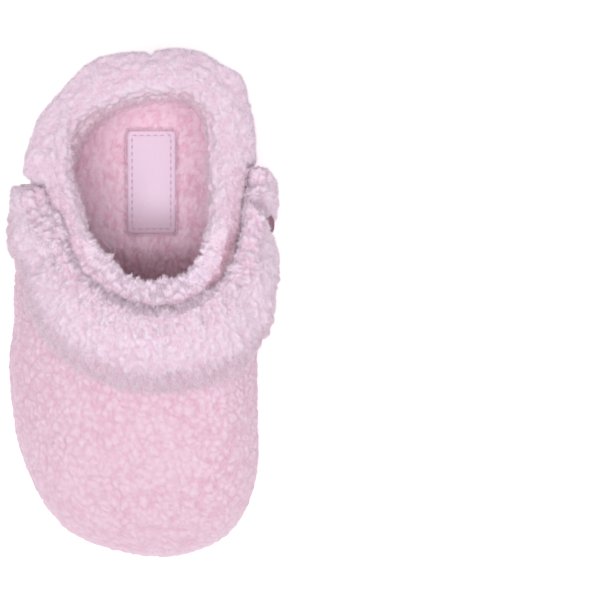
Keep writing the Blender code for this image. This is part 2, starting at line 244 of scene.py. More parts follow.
def wall_depth(u):
    return np.interp((u % 1.0) * TABLE_U, np.arange(TABLE_U + 1), np.append(WALL_DEPTHS, WALL_DEPTHS[0]))


def placed(u, s, n):
    return look_up(WALL, u, s) + n[..., None] * unit(look_up(WALL_NORMALS, u, s))


def cuff_reach(u):
    side = np.where(u < CUFF_LOWEST, CUFF_REACH_LATERAL, CUFF_REACH_MEDIAL)
    return CUFF_REACH_FRONT + (side - CUFF_REACH_FRONT) * smooth_step(abs(u - CUFF_LOWEST) * COUNT / 4.0)


# ---- noise


def hashed(cells, seed):
    """A number from 0 to 1 for each whole-numbered cell (x, y, z)."""
    c = cells.astype(np.int64)
    h = (c[..., 0] * 73856093) ^ (c[..., 1] * 19349663) ^ (c[..., 2] * 83492791) ^ (seed * 2654435761)
    h = (h ^ (h >> 13)) * 1274126177
    h = (h ^ (h >> 16)) & 0xFFFFFF
    return h / float(0xFFFFFF)


def value_noise(points, size, seed):
    """Smooth noise from -1 to 1 whose features are this many millimetres apart."""
    p = points / size
    cell = np.floor(p)
    t = smooth_step(p - cell)
    total = 0.0
    for step in itertools.product((0, 1), repeat=3):
        x, y, z = (t[..., k] if step[k] else 1 - t[..., k] for k in range(3))
        total = total + hashed(cell + np.array(step), seed) * (x * y) * z
    return 2 * total - 1


def vector_noise(points, size, seed):
    return np.stack([value_noise(points, size, seed + k) for k in range(3)], axis=-1)


def curls(points, size, seed, softness):
    """Rounded bumps packed side by side, from 0 in the creases to 1 on top, about size millimetres across."""
    p = points / size
    cell = np.floor(p)
    first = np.full(p.shape[:-1], 9.0)
    second = np.full(p.shape[:-1], 9.0)
    for step in itertools.product((-1, 0, 1), repeat=3):
        near = cell + np.array(step)
        spot = near + np.stack([hashed(near, seed + k) for k in range(3)], axis=-1)
        d = np.linalg.norm(spot - p, axis=-1)
        second = np.minimum(second, np.maximum(d, first))
        first = np.minimum(first, d)
    dome = 1 - smooth_step(first / 0.95)
    crease = smooth_step((second - first) / softness)
    return dome * 0.55 + crease * 0.45


def fleece_height(points, size, seed, softness=0.5):
    """The height of curly pile, from 0 to 1: bumps of two sizes, pushed about so that none is round."""
    warped = points + vector_noise(points, size * 1.3, seed) * size * 0.42
    warped = warped + vector_noise(points, size * 0.45, seed + 9) * size * 0.16
    large = curls(warped, size, seed + 20, softness)
    small = curls(warped, size * 0.48, seed + 40, softness)
    return np.clip(0.7 * large + 0.3 * small, 0, 1)


def flow_height(skin, size, stretch, seed, softness, length=CUFF_U_TO_MM):
    """Pile height in streaks that run down the wall and over its folds."""
    across = np.repeat((skin.u * length)[:, None], skin.s.shape[1], axis=1)
    flat = np.stack([across, skin.s / stretch, skin.n / stretch], axis=-1)
    return fleece_height(flat, size, seed, softness)


def creased(points, size, seed):
    """Soft pile with thin winding creases, from 0 to 1."""
    moved = points + vector_noise(points, size, seed) * size * 0.35
    wide, narrow = value_noise(moved, size * 1.5, seed + 50), value_noise(moved, size * 1.1, seed + 60)
    winding = np.minimum(abs(wide), abs(narrow))
    fine = 0.5 + 0.5 * value_noise(points, 0.8, seed)
    curly = 0.75 * fleece_height(points, size * 0.72, seed, 0.6) + 0.25 * fine
    return 0.68 * curly + 0.32 * smooth_step(winding / 0.25)


# ---- skins

COARSE_STEP = 2.5
FIBRE_WIDTH = 0.09
HINGE_HALF = 3.0
BACKING_INSET = 0.004
SHOE = "shoe"


def furry(*places):
    """Key points (s, n) of an outline, masked for pile."""
    return [(s, n, 1) for s, n in places]


def bare(*places):
    """Key points (s, n) of an outline, kept clear of pile."""
    return [(s, n, 0) for s, n in places]


def densified(keys, counts):
    """Points round a closed outline: this many steps from each key point (s, n, mask) to the next."""
    after = np.roll(keys, -1, axis=0)
    return np.concatenate([a + (b - a) * (np.arange(c) / c)[:, None] for a, b, c in zip(keys, after, counts)])


def steps_between(keys, fine):
    """How many steps each side of an outline needs: fine ones where both its ends are masked, else coarse."""
    after = np.roll(keys, -1, axis=0)
    length = np.linalg.norm((after - keys)[:, :2], axis=1)
    size = np.where(np.minimum(keys[:, 2], after[:, 2]) > 0, fine, COARSE_STEP)
    return np.maximum(1, np.ceil(length / size)).astype(int)


def zipped(a, b):
    """Triangles that fill the strip between two runs of points that go the same way."""
    i = j = 0
    faces = []
    while i < len(a) - 1 or j < len(b) - 1:
        if j == len(b) - 1 or (i < len(a) - 1 and (i + 1) * len(b) <= (j + 1) * len(a)):
            faces.append((a[i + 1], a[i], b[j]))
            i += 1
        else:
            faces.append((b[j], b[j + 1], a[i]))
            j += 1
    return np.array(faces)


def grid_quads(lines, across):
    """Quads between lines of points, each of them closed round."""
    i, j = np.meshgrid(np.arange(lines - 1), np.arange(across), indexing="ij")
    k = (j + 1) % across
    near, far = i * across, (i + 1) * across
    return np.stack([near + j, near + k, far + k, far + j], axis=-1).reshape(-1, 4)


def add_mesh(name, parts, material, smooth=True):
    """One object from parts (points in millimetres, quads, triangles, and by point the pile's shade and maybe
    more painted shade).
    """
    first, points, quads, triangles, shades, painted_shades = 0, [], [], [], [], []
    for part_points, part_quads, part_triangles, shade, *painted_shade in parts:
        painted_shades.append(painted_shade[0] if painted_shade else np.zeros(len(part_points)))
        points.append(part_points)
        quads.append(part_quads + first)
        triangles.append(part_triangles + first)
        shades.append(shade)
        first += len(part_points)
    quads, triangles = np.concatenate(quads), np.concatenate(triangles)
    corners = np.concatenate([quads.ravel(), triangles.ravel()]).astype(np.int32)
    sizes = np.concatenate([np.full(len(quads), 4), np.full(len(triangles), 3)])
    mesh = bpy.data.meshes.new(name)
    mesh.vertices.add(first)
    mesh.vertices.foreach_set("co", (np.concatenate(points) * MM).astype(np.float32).ravel())
    mesh.loops.add(len(corners))
    mesh.loops.foreach_set("vertex_index", corners)
    mesh.polygons.add(len(sizes))
    mesh.polygons.foreach_set("loop_start", np.concatenate([[0], np.cumsum(sizes)[:-1]]).astype(np.int32))
    mesh.update(calc_edges=True)
    mesh.polygons.foreach_set("use_smooth", np.full(len(sizes), smooth))
    if smooth:
        mesh.set_sharp_from_angle(angle=math.radians(75))
    # Both attributes are painted shade: the pile's shade is darker in its creases, and the second darkens
    # grooves and deep places.
    for label, values in (("shade", shades), ("painted_shade", painted_shades)):
        attribute = mesh.attributes.new(label, "FLOAT", "POINT")
        attribute.data.foreach_set("value", np.concatenate(values).astype(np.float32))
    mesh.materials.append(material)
    made = bpy.data.objects.new(name, mesh)
    bpy.context.scene.collection.objects.link(made)
    return made


def add_piece(name, parts, material, slot, *nodes, body=SHOE, hinge=None, smooth=True):
    """A mesh that rides on its body or, given a hinge, stays where it is, and hides the CAD nodes it stands
    for.

    Its slot is not used.
    """
    made = add_mesh(name, parts, material, smooth)
    if hinge is None:
        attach(made, body)
    else:
        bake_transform(made)
    if nodes:
        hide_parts(*nodes)
    return made


def evenly(u, s, n):
    """The weight of places where fibres stand equally thick."""
    return 1.0


class Skin:
    """A closed piece swept along the wall. Pile can be raised, and fibres planted, on its masked places."""

    def __init__(self, first, last, keys_at, outside, fine, length=U_TO_MM, passes=3):
        """Sweeps keys_at(u) from first to last. Its first outside key points are the piece's one side."""
        self.u = np.linspace(first, last, max(4, math.ceil(abs(last - first) * length / fine)))
        count = len(self.u)
        typical = [np.array(keys_at(self.u[k]), float) for k in (count // 8, count // 2)]
        counts = np.max([steps_between(keys, fine) for keys in typical], axis=0)
        self.turn = int(counts[: outside - 1].sum())
        outlines = np.array([densified(np.array(keys_at(u), float), counts) for u in self.u])
        for _ in range(passes):
            near = np.roll(outlines, 1, axis=1) + np.roll(outlines, -1, axis=1)
            outlines[..., :2] = 0.5 * outlines[..., :2] + 0.25 * near[..., :2]
        self.s, self.n, self.mask = outlines[..., 0], outlines[..., 1], outlines[..., 2]
        self.rebase()

    def rebase(self):
        """Places the skin from its (u, s, n), before any pile is raised."""
        self.points = placed(np.repeat(self.u[:, None], self.s.shape[1], axis=1), self.s, self.n)
        across = np.roll(self.points, -1, axis=1) - np.roll(self.points, 1, axis=1)
        self.normals = unit(np.cross(across, np.gradient(self.points, axis=0)))
        # A middling shade and no painted shade, until the pile is raised.
        self.shade = np.full(self.s.shape, 0.5)
        self.painted_shade = np.zeros(self.s.shape)

    def raised(self, amount, height, level=0.45):
        """Moves the masked places out by amount where height is over level, and in where it is under."""
        self.points = self.points + self.normals * ((height - level) * amount * self.mask)[..., None]
        # The pile's height becomes its shade: painted shade in its creases and painted light on its tips.
        self.shade = np.where(self.mask > 0.05, height, self.shade)

    def part(self, lines=slice(None)):
        """These lines of the skin as a part for add_mesh, closed over its first and last line."""
        grid = self.points[lines]
        lines_kept, across = grid.shape[:2]
        cap = zipped(np.arange(self.turn + 1), np.arange(across - 1, self.turn, -1))
        caps = np.concatenate([cap, (lines_kept - 1) * across + cap[:, ::-1]])
        quads = grid_quads(lines_kept, across)
        return grid.reshape(-1, 3), quads, caps, self.shade[lines].ravel(), self.painted_shade[lines].ravel()

    def planted(self, count, weight=evenly, u_range=ALL_ROUND):
        """Random places by area and weight: points, normals and the ways down, with their u and s."""
        p = self.points
        area = np.linalg.norm(np.cross(p[1:, :-1] - p[:-1, :-1], p[:-1, 1:] - p[:-1, :-1]), axis=-1)
        area = area * self.mask[:-1, :-1] * weight(self.u[:-1, None], self.s[:-1, :-1], self.n[:-1, :-1])
        area = area * ((self.u[:-1, None] >= u_range[0]) & (self.u[:-1, None] < u_range[1]))
        chosen = rng.choice(area.size, size=count, p=(area / area.sum()).ravel())
        i, j = np.unravel_index(chosen, area.shape)
        a, b = rng.random(count)[:, None], rng.random(count)[:, None]
        near, far = (p[k, j] * (1 - b) + p[k, j + 1] * b for k in (i, i + 1))
        u, s, n = self.u[i], self.s[i, j], self.n[i, j]
        down = unit(placed(u, s + 1.0, n) - placed(u, s - 1.0, n))
        return near * (1 - a) + far * a, unit(self.normals[i, j]), down, u, s


# Where along a thread or hook its rings lie, and how wide each ring is.
LOCK_PLACES = np.array([0.0, 0.14, 0.4, 0.68, 0.9, 1.0])
LOCK_WIDTHS = np.array([0.85, 0.95, 0.72, 0.4])


def locks(roots, lift, heading, length, width, curl=0.0, sides=6, flat=1.0, tones=(0.3, 0.95)):
    """Threads, hooks and loops as closed spindles, which leave along lift and bend over to heading."""
    count, rings = len(roots), len(LOCK_WIDTHS)
    t = LOCK_PLACES
    bend = smooth_step(t * 1.3)[None, :, None]
    sway = unit(np.cross(heading, rng.normal(size=(count, 3))))[:, None]
    phase = rng.random((count, 1, 1)) * 2 * math.pi
    way = unit(lift[:, None] * (1 - bend) + heading[:, None] * bend)
    way = unit(way + sway * np.sin(4.0 * t[None, :, None] + phase) * curl)
    steps = way[:, 1:] * np.diff(t)[None, :, None] * length
    line = roots[:, None] + np.concatenate([np.zeros((count, 1, 3)), np.cumsum(steps, axis=1)], axis=1)
    across = unit(np.cross(way[:, 1:-1], sway))
    over = np.cross(way[:, 1:-1], across)
    radius = width / 2 * LOCK_WIDTHS[None, :, None]
    turns = 2 * math.pi * np.arange(sides) / sides
    sweep = [line[:, 1:-1] + radius * (math.cos(a) * across + flat * math.sin(a) * over) for a in turns]
    around = np.stack(sweep, axis=2).reshape(count, -1, 3)
    points = np.concatenate([line[:, :1], around, line[:, -1:]], axis=1)
    j, k = np.arange(sides), (np.arange(sides) + 1) % sides
    tip, top = 1 + rings * sides, 1 + (rings - 1) * sides
    root_cap = np.stack([0 * j, 1 + k, 1 + j], axis=-1)
    tip_cap = np.stack([tip + 0 * j, top + j, top + k], axis=-1)
    first = (points.shape[1] * np.arange(count))[:, None, None]
    quads = (1 + grid_quads(rings, sides) + first).reshape(-1, 4)
    triangles = (np.concatenate([root_cap, tip_cap]) + first).reshape(-1, 3)
    tone = tones[0] + (tones[1] - tones[0]) * np.concatenate([[0], np.repeat(t[1:-1], sides), [1]])
    shade = np.clip(tone[None] + rng.normal(0, 0.08, (count, 1)), 0, 1)
    return points.reshape(-1, 3), quads, triangles, shade.ravel()


def fibres(roots, heading, length):
    """Single fibres of pile, each a closed needle with three sides."""
    count = len(roots)
    across = unit(np.cross(heading, rng.normal(size=(count, 3)))) * FIBRE_WIDTH / 2
    over = np.cross(unit(heading), across)
    base = roots - heading * 0.15
    corners = [base + math.cos(a) * across + math.sin(a) * over for a in (0.0, 2.1, 4.2)]
    points = np.stack([*corners, roots + heading * length[:, None]], axis=1)
    needle = np.array([(0, 2, 1), (0, 1, 3), (1, 2, 3), (2, 0, 3)])
    triangles = (needle[None] + (4 * np.arange(count))[:, None, None]).reshape(-1, 3)
    return points.reshape(-1, 3), np.zeros((0, 4), int), triangles, np.full(4 * count, 0.9)


def fibre_lengths(count, longest, shortest_share=0.45):
    return longest * (shortest_share + (1 - shortest_share) * rng.random(count))


def fuzz_on(skin, count, longest, lean=0.6, weight=evenly, u_range=ALL_ROUND):
    """Fibres standing on a skin's pile and leaning at random."""
    point, normal, *_ = skin.planted(count, weight, u_range)
    heading = unit(normal + rng.normal(size=point.shape) * lean)
    return fibres(point, heading, fibre_lengths(count, longest))


# ---- materials

# The tint by which painted shade darkens a colour.
PAINTED_SHADE_TINT = (0.74, 0.66, 0.68, 1)
PILE_GLOW = (1.0, 0.62, 0.72)


def shader_of(name):
    material = bpy.data.materials.new(name)
    material.use_nodes = True
    return material, material.node_tree, material.node_tree.nodes["Principled BSDF"]


def set_inputs(node, **values):
    """Sets a node's inputs, whose names are written here with _ for a space."""
    for name, value in values.items():
        node.inputs[name.replace("_", " ")].default_value = value


def set_uniform(shader, roughness, sheen=0.0, subsurface=0.0, specular=0.1):
    set_inputs(shader, Roughness=roughness, Specular_IOR_Level=specular)
    set_inputs(shader, Sheen_Weight=sheen, Sheen_Roughness=0.5)
    set_inputs(shader, Subsurface_Weight=subsurface, Subsurface_Radius=PILE_GLOW, Subsurface_Scale=0.0016)


def multiply_add(tree, value, factor, added):
    """A node for value * factor + added, where value is a socket and added is a socket or a number."""
    node = tree.nodes.new("ShaderNodeMath")
    node.operation = "MULTIPLY_ADD"
    tree.links.new(value, node.inputs[0])
    node.inputs[1].default_value = factor
    if isinstance(added, float):
        node.inputs[2].default_value = added
    else:
        tree.links.new(added, node.inputs[2])
    return node.outputs[0]


def attribute_node(tree, name):
    node = tree.nodes.new("ShaderNodeAttribute")
    node.attribute_name = name
    return node.outputs["Fac"]


def patterned(tree, kind, **settings):
    """A texture node on the object's own coordinates, with its inputs set."""
    place = tree.nodes.new("ShaderNodeTexCoord")
    node = tree.nodes.new(kind)
    set_inputs(node, **settings)
    tree.links.new(place.outputs["Object"], node.inputs["Vector"])
    return node


def ramp_of(tree, value, first, last, *between):
    """A colour ramp of stops (position, colour)."""
    ramp = tree.nodes.new("ShaderNodeValToRGB")
    stops = ramp.color_ramp.elements
    for stop, (position, colour) in zip(stops, (first, last)):
        stop.position, stop.color = position, (*colour, 1)
    for position, colour in between:
        stops.new(position).color = (*colour, 1)
    tree.links.new(value, ramp.inputs["Fac"])
    return ramp.outputs["Color"]


def finish_surface(tree, shader, colour, height, bump, depth):
    """Gives the shader its colour, darkened by the painted shade that a mesh holds by point, and its fine
    relief.

    The painted shade stands in for the shade in grooves, deep inside the shoe, low on the cuff and over the
    heel collar.
    """
    mixed = tree.nodes.new("ShaderNodeMix")
    mixed.data_type = "RGBA"
    mixed.blend_type = "MULTIPLY"
    plain, tint = (socket for socket in mixed.inputs if socket.type == "RGBA")
    tint.default_value = PAINTED_SHADE_TINT
    tree.links.new(attribute_node(tree, "painted_shade"), mixed.inputs[0])
    tree.links.new(colour, plain)
    result = next(socket for socket in mixed.outputs if socket.type == "RGBA")
    tree.links.new(result, shader.inputs["Base Color"])
    raised = tree.nodes.new("ShaderNodeBump")
    set_inputs(raised, Strength=bump, Distance=depth)
    tree.links.new(height, raised.inputs["Height"])
    tree.links.new(raised.outputs["Normal"], shader.inputs["Normal"])


def fleece_material(name, deep, middle, light, grain=1500.0, bump=0.3):
    """Fleece with painted shade, deeper in its creases, and painted light, paler at its tips; with fine
    fibres and a slow change of tone.
    """
    material, tree, shader = shader_of(name)
    shade = attribute_node(tree, "shade")
    fine = patterned(tree, "ShaderNodeTexNoise", Scale=grain, Detail=4.0, Distortion=1.2).outputs["Fac"]
    slow = patterned(tree, "ShaderNodeTexNoise", Scale=90.0, Detail=3.0, Distortion=0.0).outputs["Fac"]
    tone = multiply_add(tree, slow, 0.25, -0.07)
    tone = multiply_add(tree, shade, 0.75, tone)
    tone = multiply_add(tree, fine, 0.2, tone)
    colour = ramp_of(tree, tone, (0.12, deep), (0.92, light), (0.48, middle))
    finish_surface(tree, shader, colour, fine, bump, 0.0003)
    set_uniform(shader, 1.0, sheen=0.45, subsurface=0.25)
    return material


def plain_fibre(name, colour):
    """The material of single fibres, each far thinner than any pattern."""
    material, _, shader = shader_of(name)
    set_inputs(shader, Base_Color=(*colour, 1))
    set_uniform(shader, 1.0, sheen=0.4)
    return material


def woven_material(name, dark, light, along, across, roughness, bump=0.4, sheen=0.0):
    """A woven or knitted cloth: two sets of fine ribs that cross, in two close tones."""
    material, tree, shader = shader_of(name)
    crossed = tree.nodes.new("ShaderNodeMath")
    crossed.operation = "MULTIPLY"
    for socket, direction, scale in zip(crossed.inputs, "XY", (across, along)):
        wave = patterned(tree, "ShaderNodeTexWave", Scale=scale, Distortion=0.6, Detail=2.0)
        wave.bands_direction = direction
        tree.links.new(wave.outputs["Fac"], socket)
    colour = ramp_of(tree, crossed.outputs[0], (0.0, dark), (1.0, light))
    finish_surface(tree, shader, colour, crossed.outputs[0], bump, 0.0002)
    set_uniform(shader, roughness, sheen=sheen, specular=0.3)
    return material


VAMP_FLEECE = fleece_material("vamp_fleece", (0.66, 0.38, 0.50), (0.735, 0.53, 0.635), (0.775, 0.60, 0.71))
CUFF_FLEECE = fleece_material("cuff_fleece", (0.73, 0.46, 0.59), (0.79, 0.645, 0.75), (0.835, 0.735, 0.825))
LINING_FLEECE = fleece_material("lining_fleece", (0.72, 0.37, 0.49), (0.89, 0.66, 0.77), (0.94, 0.76, 0.86))
# A darker copy of the lining fleece: painted shade for the deep toe.
SHADED_TOE_FLEECE = fleece_material("toe_fleece_painted_shade", (0.46, 0.18, 0.25), (0.60, 0.31, 0.38), (0.72, 0.42, 0.50))
VAMP_FIBRE = plain_fibre("vamp_fibre", (0.79, 0.59, 0.70))
CUFF_FIBRE = plain_fibre("cuff_fibre", (0.83, 0.71, 0.80))
# Darker cuff fibres: painted shade low on the cuff, whose face turns down there.
SHADED_CUFF_EDGE_FIBRE = plain_fibre("cuff_edge_fibre_painted_shade", (0.76, 0.625, 0.715))
# Paler cuff fibres: painted light on the front ring, against the shade between its tufts.
LIT_RING_FIBRE = plain_fibre("ring_fibre_painted_light", (0.93, 0.80, 0.90))
# Darker fibres: painted shade in the slit between the ring and the inner wing.
SHADED_SLIT_FIBRE = plain_fibre("slit_fibre_painted_shade", (0.74, 0.46, 0.55))
LINING_FIBRE = plain_fibre("lining_fibre", (0.94, 0.70, 0.82))
# A darker copy of the lining fibre: painted shade for the deep toe.
SHADED_TOE_FIBRE = plain_fibre("toe_fibre_painted_shade", (0.68, 0.40, 0.48))
KNIT = woven_material("backing_knit", (0.30, 0.14, 0.19), (0.46, 0.25, 0.31), 900, 900, 0.95, sheen=0.3)
SATIN = woven_material("label_satin", (0.74, 0.58, 0.71), (0.82, 0.68, 0.81), 1300, 1100, 0.42, 0.15, 0.2)
THREAD = woven_material("sewing_thread", (0.62, 0.40, 0.53), (0.80, 0.58, 0.71), 2500, 2500, 0.6)
TWILL = woven_material("tape_twill", (0.30, 0.15, 0.19), (0.46, 0.27, 0.33), 1500, 900, 0.8)
SUEDE = fleece_material("sole_suede", (0.58, 0.37, 0.45), (0.66, 0.45, 0.53), (0.72, 0.52, 0.60), 2600, 0.15)
SILICONE = woven_material("grip_silicone", (0.78, 0.60, 0.68), (0.84, 0.68, 0.75), 200, 260, 0.38, 0.05)
FELT = woven_material("stiffening_felt", (0.74, 0.72, 0.69), (0.86, 0.84, 0.81), 1200, 1400, 1.0)
FOAM = woven_material("cushion_foam", (0.80, 0.78, 0.72), (0.90, 0.88, 0.83), 1600, 1700, 0.9)
HOOKS = woven_material("hook_tape", (0.60, 0.42, 0.50), (0.84, 0.66, 0.74), 700, 700, 0.55, 1.0)
LOOPS = woven_material("loop_tape", (0.70, 0.50, 0.58), (0.86, 0.70, 0.77), 1000, 1100, 1.0, 0.7, 0.4)


# ---- the outer fleece and the linings

# Where the toe part and the heel part are fuller than the wall: by how much, about which u, how far each way.
SWELLS = ((1.4, 0.59, 0.04), (0.8, 0.43, 0.04), (0.6, 0.51, 0.03), (-1.0, 0.285, 0.02))
# Seams between panels, as the gap in u that each panel leaves.
SEAM_GAP = 0.0001
LINING_GAP = 0.0006


def end_roundness(u, first, last, radius, length=U_TO_MM):
    """0 at either end of a piece and 1 further in than radius, following a quarter circle."""
    inside = min(abs(u - first), abs(last - u)) * length
    return math.sqrt(max(0.0, 1 - (1 - min(inside / radius, 1.0)) ** 2))


def shell_keys(first, last, covered):
    """The outer fleece: its face, rolled in at the seams, and its back. The cuff may cover a stretch."""

    def keys(u):
        depth = float(wall_depth(u))
        outer = SHELL[1] - 0.55 * (1 - end_roundness(u, first, last, 1.2))
        face = furry((0.2, outer - 0.9), (0.9, outer - 0.1), (3.2, outer))
        if covered:
            low = cuff_reach(u)
            face += bare((3.8, outer), (low - 4.2, outer)) + furry((low - 3.6, outer))
        face += furry((depth - 1.4, outer), (depth - 0.3, outer - 0.6))
        return face + bare((depth - 0.3, SHELL[0]), (depth - 3, SHELL[0]), (3.0, SHELL[0]), (0.2, SHELL[0]))

    return keys


def add_outer_fleece():
    panels = (
        ("vamp_fleece", "vamp_shell", LATERAL_SEAM, MEDIAL_SEAM, 8, 42000),
        ("quarter_fleece_lateral", "quarter_lateral", 0.0, LATERAL_SEAM, 5, 11000),
        ("quarter_fleece_medial", "quarter_medial", MEDIAL_SEAM, 1.0, 5, 11000),
    )
    for name, node, first, last, outside, hairs in panels:
        keys = shell_keys(first, last, node == "vamp_shell")
        skin = Skin(first + SEAM_GAP, last - SEAM_GAP, keys, outside, 0.43)
        fuller = sum(amount * bell(skin.u, at, width) for amount, at, width in SWELLS)
        down = skin.s / wall_depth(skin.u)[:, None]
        skin.n = skin.n + fuller[:, None] * smooth_step(down * 2.5) * smooth_step((1 - down) * 3) * skin.mask
        skin.rebase()
        fine = 0.5 + 0.5 * value_noise(skin.points, 0.7, 5)
        skin.raised(0.95, 0.85 * fleece_height(skin.points, 2.0, 3, 0.6) + 0.15 * fine, level=0.5)
        add_piece(name, [skin.part()], VAMP_FLEECE, "curly_fleece", node)
        add_piece(name + "_fibres", [fuzz_on(skin, hairs, 0.75)], VAMP_FIBRE, "curly_fleece", smooth=False)


def thinned(u):
    """How much further out the wall's inner face lies at its top. In front it lies further in."""
    lateral = rise(u % 1.0, 0.06, 0.06) * smooth_step((0.35 - u % 1.0) / 0.10)
    medial = rise(u % 1.0, 0.62, 0.07) * smooth_step((0.82 - u % 1.0) / 0.05)
    return 2.5 * lateral + 1.6 * medial - 3.0 * bell(u % 1.0, CUFF_LOWEST, 0.07)


def lining_keys(u):
    depth = float(wall_depth(u)) - LINING_STOP
    inner, outer = LINING
    back = bare((0.2, outer), (3.0, outer), (depth - 2, outer), (depth, outer))
    return back + furry((depth, inner + 0.5), (depth - 1.2, inner), (3.2, inner), (0.3, inner + 1.5))


def add_linings():
    toe, heel = (LATERAL_SEAM, MEDIAL_SEAM), (MEDIAL_SEAM - 1.0, LATERAL_SEAM)
    panels = (
        # The toe lining takes the darker fleece and fibres of painted shade.
        ("toe_lining", "vamp_lining", toe, 5000, SHADED_TOE_FLEECE, SHADED_TOE_FIBRE),
        ("heel_lining_fleece", "heel_lining", heel, 16000, LINING_FLEECE, LINING_FIBRE),
    )
    for name, node, (first, last), hairs, fleece, fibre in panels:
        skin = Skin(first + LINING_GAP, last - LINING_GAP, lining_keys, 4, 0.5, length=LINING_U_TO_MM)
        flare = thinned(skin.u)[:, None] * (1 - smooth_step(skin.s / 16.0))
        skin.n = skin.n + flare * np.where(skin.n > LINING[0] + 2.0, 0.6, 1.0)
        skin.rebase()
        skin.raised(1.8, creased(skin.points, 3.2, 11), level=0.5)
        add_piece(name, [skin.part()], fleece, "lining_fleece", node)
        add_piece(name + "_fibres", [fuzz_on(skin, hairs, 0.9)], fibre, "lining_fleece", smooth=False)


# ---- the cuff and its wings


def wing_edges(u):
    """The cuff's top and lower edges at u. A wing narrows towards its end."""
    hinge, end = (LATERAL_HINGE, LATERAL_WING_END) if u < CUFF_LOWEST else (MEDIAL_HINGE, MEDIAL_WING_END)
    on_wing = (u - hinge) * (end - hinge) > 0
    narrowing = float(smooth_step(2 * (u - hinge) / (end - hinge) - 1)) if on_wing else 0.0
    return WING_TOP_DROP * narrowing - CUFF_ABOVE_TOPLINE, float(cuff_reach(u)) - WING_LOW_RISE * narrowing


def sag(u, s, low):
    """How much nearer to the shoe the cuff's outer and inner faces lie by its lower edge and its ends."""
    edge = float(smooth_step((s - low + 7.5) / 6.5))
    from_end = min(abs(u - LATERAL_WING_END), abs(MEDIAL_WING_END - u)) * CUFF_U_TO_MM
    end = float(smooth_step(1 - from_end / 7.0) * rise(s, 2.0, 3.0))
    return 1.9 * edge, 1.9 * max(edge, 0.8 * end)


def cuff_bulge(u):
    """How much plumper the cuff is at its sides, with a dip where the side tab is sewn in."""
    if u < CUFF_LOWEST:
        return 3.0 * float(smooth_step((0.268 - u) / 0.030)) - 1.3 * bell(u, 0.268, 0.012)
    return 1.6 * rise(u, 0.665, 0.03) - 3.0 * bell(u, TAB_MIDDLE, 0.0095)


def cuff_keys(u):
    top, low = wing_edges(u)
    less = 1 - end_roundness(u, *CUFF_ENDS, 3.0, CUFF_U_TO_MM)
    thick = CUFF[1] - CUFF[0] + cuff_bulge(u)
    inner, outer = CUFF[0] + 0.42 * thick * less, CUFF[0] + thick - 0.42 * thick * less
    fold = 1.9 - 1.3 * bell(u, 0.32, 0.07)
    fold *= float(smooth_step((u - LATERAL_WING_END) * COUNT / 0.7) * smooth_step((0.66 - u) * COUNT / 1.2))
    top, low = top + 2.2 * less, low - 2.2 * less
    face = furry(
        (top, inner + 0.55 * (outer - inner)), (top + 0.8, outer - 0.6), (top + 2.4, outer),
        (low - 7.5, outer), (low - 5.0, outer), (low - 2.6, outer - 0.1), (low - 0.8, outer - 0.9),
        (low, inner + 0.45 * (outer - inner)),
    )
    back = furry((low - 0.9, inner + 0.2)) + bare((low - 3.0, inner), (low - 6.0, inner), (top + 6.0, inner))
    back += furry((top + 3.4, inner - 0.5 - fold), (top + 0.9, inner - 0.8 - 0.7 * fold))
    face = [(s, n - sag(u, s, low)[0], mask) for s, n, mask in face]
    return face + [(s, n - sag(u, s, low)[1], mask) for s, n, mask in back]


def backing_keys(u):
    top, low = wing_edges(u)
    down = top + 4.6, top + 7.6, low - 6.5, low - 1.5
    keys = bare(*((s, FACING[1]) for s in down)) + furry(*((s, FACING[0]) for s in reversed(down)))
    return [(s, n - sag(u, s, low)[1], mask) for s, n, mask in keys]


def knit_height(skin):
    """Columns of knitted stitches, each a slanting pair."""
    across = np.repeat((skin.u * CUFF_U_TO_MM)[:, None], skin.s.shape[1], axis=1) / 1.5
    side = abs((across % 1.0) - 0.5) * 2
    rows = (skin.s / 1.1 + 0.8 * side) % 1.0
    return np.sin(math.pi * rows) * np.sqrt(np.clip(np.sin(math.pi * side), 0, 1))


def cuff_hairs(skin, count, u_range, by_edge):
    """Fibres that stand up over the cuff's fold and lie down the wall below it, by its edge or above."""

    def weight(u, s, n):
        near = smooth_step((s - cuff_reach(u) + 11.5) / 7.0)
        return near if by_edge else (1 - near) * (1.0 + 0.5 * (n < CUFF[0] + 0.5) * (s < 0))

    point, normal, down, _, s = skin.planted(count, weight, u_range)
    lying = rise(s, -1.0, 7.0)[:, None]
    heading = unit(down * (1.7 * lying - 0.9) + normal * 0.4 + rng.normal(size=point.shape) * 0.4)
    return fibres(point, heading, fibre_lengths(count, 1.4))


def hinge_span(hinge, away):
    """The places, in metres, between which the cuff bends at a wing's hinge."""
    s, n = np.array([9.0]), np.array([CUFF[1]])
    middle = placed(np.array([hinge]), s, n)[0]
    along = unit(placed(np.array([hinge + away * 0.01]), s, n)[0] - middle)
    return tuple((middle - along * HINGE_HALF) * MM), tuple((middle + along * HINGE_HALF) * MM)


def halves_of(skin):
    """The lines of a skin up to the cuff's lowest place, and those from it on."""
    middle = int(np.argmin(abs(skin.u - CUFF_LOWEST)))
    return slice(0, middle + 1), slice(middle, None)


